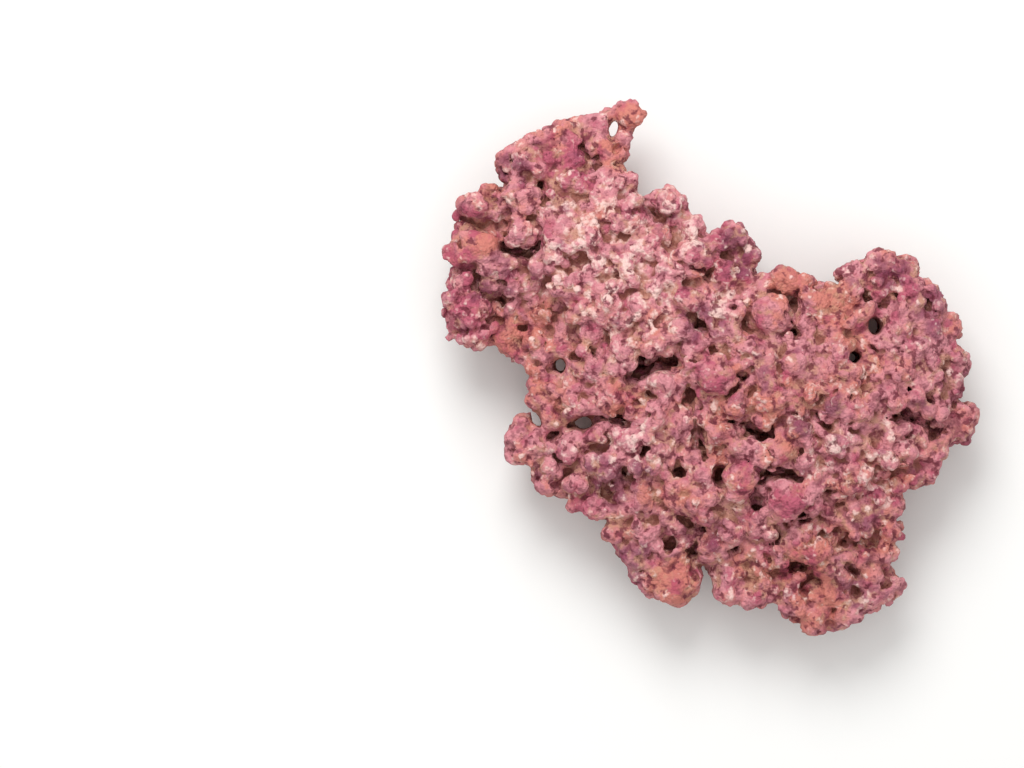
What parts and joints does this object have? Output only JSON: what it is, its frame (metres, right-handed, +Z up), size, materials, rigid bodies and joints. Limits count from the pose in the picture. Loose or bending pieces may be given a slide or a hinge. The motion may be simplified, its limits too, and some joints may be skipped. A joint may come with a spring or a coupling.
{
  "type": "reef rock",
  "caption": "Knobbly, roughly triangular slab of dry pink reef rock with a pierced horn, ledges, clefts and eyelets, resting flat on worn feet.",
  "frame": {"origin": "under the middle of the rock, on the plane it rests on", "axes": "+Z up through the slab's thickness; +Y towards the back, where the horn is; +X to the right, towards the lobe beside the wide notch"},
  "size_m": [0.2736, 0.2712, 0.0714],
  "materials": {
    "coralline_crust": "rough dry pink crust on porous coral limestone"
  },
  "bodies": {
    "root": {"reef_rock": "coralline_crust"}
  },
  "joints": []
}
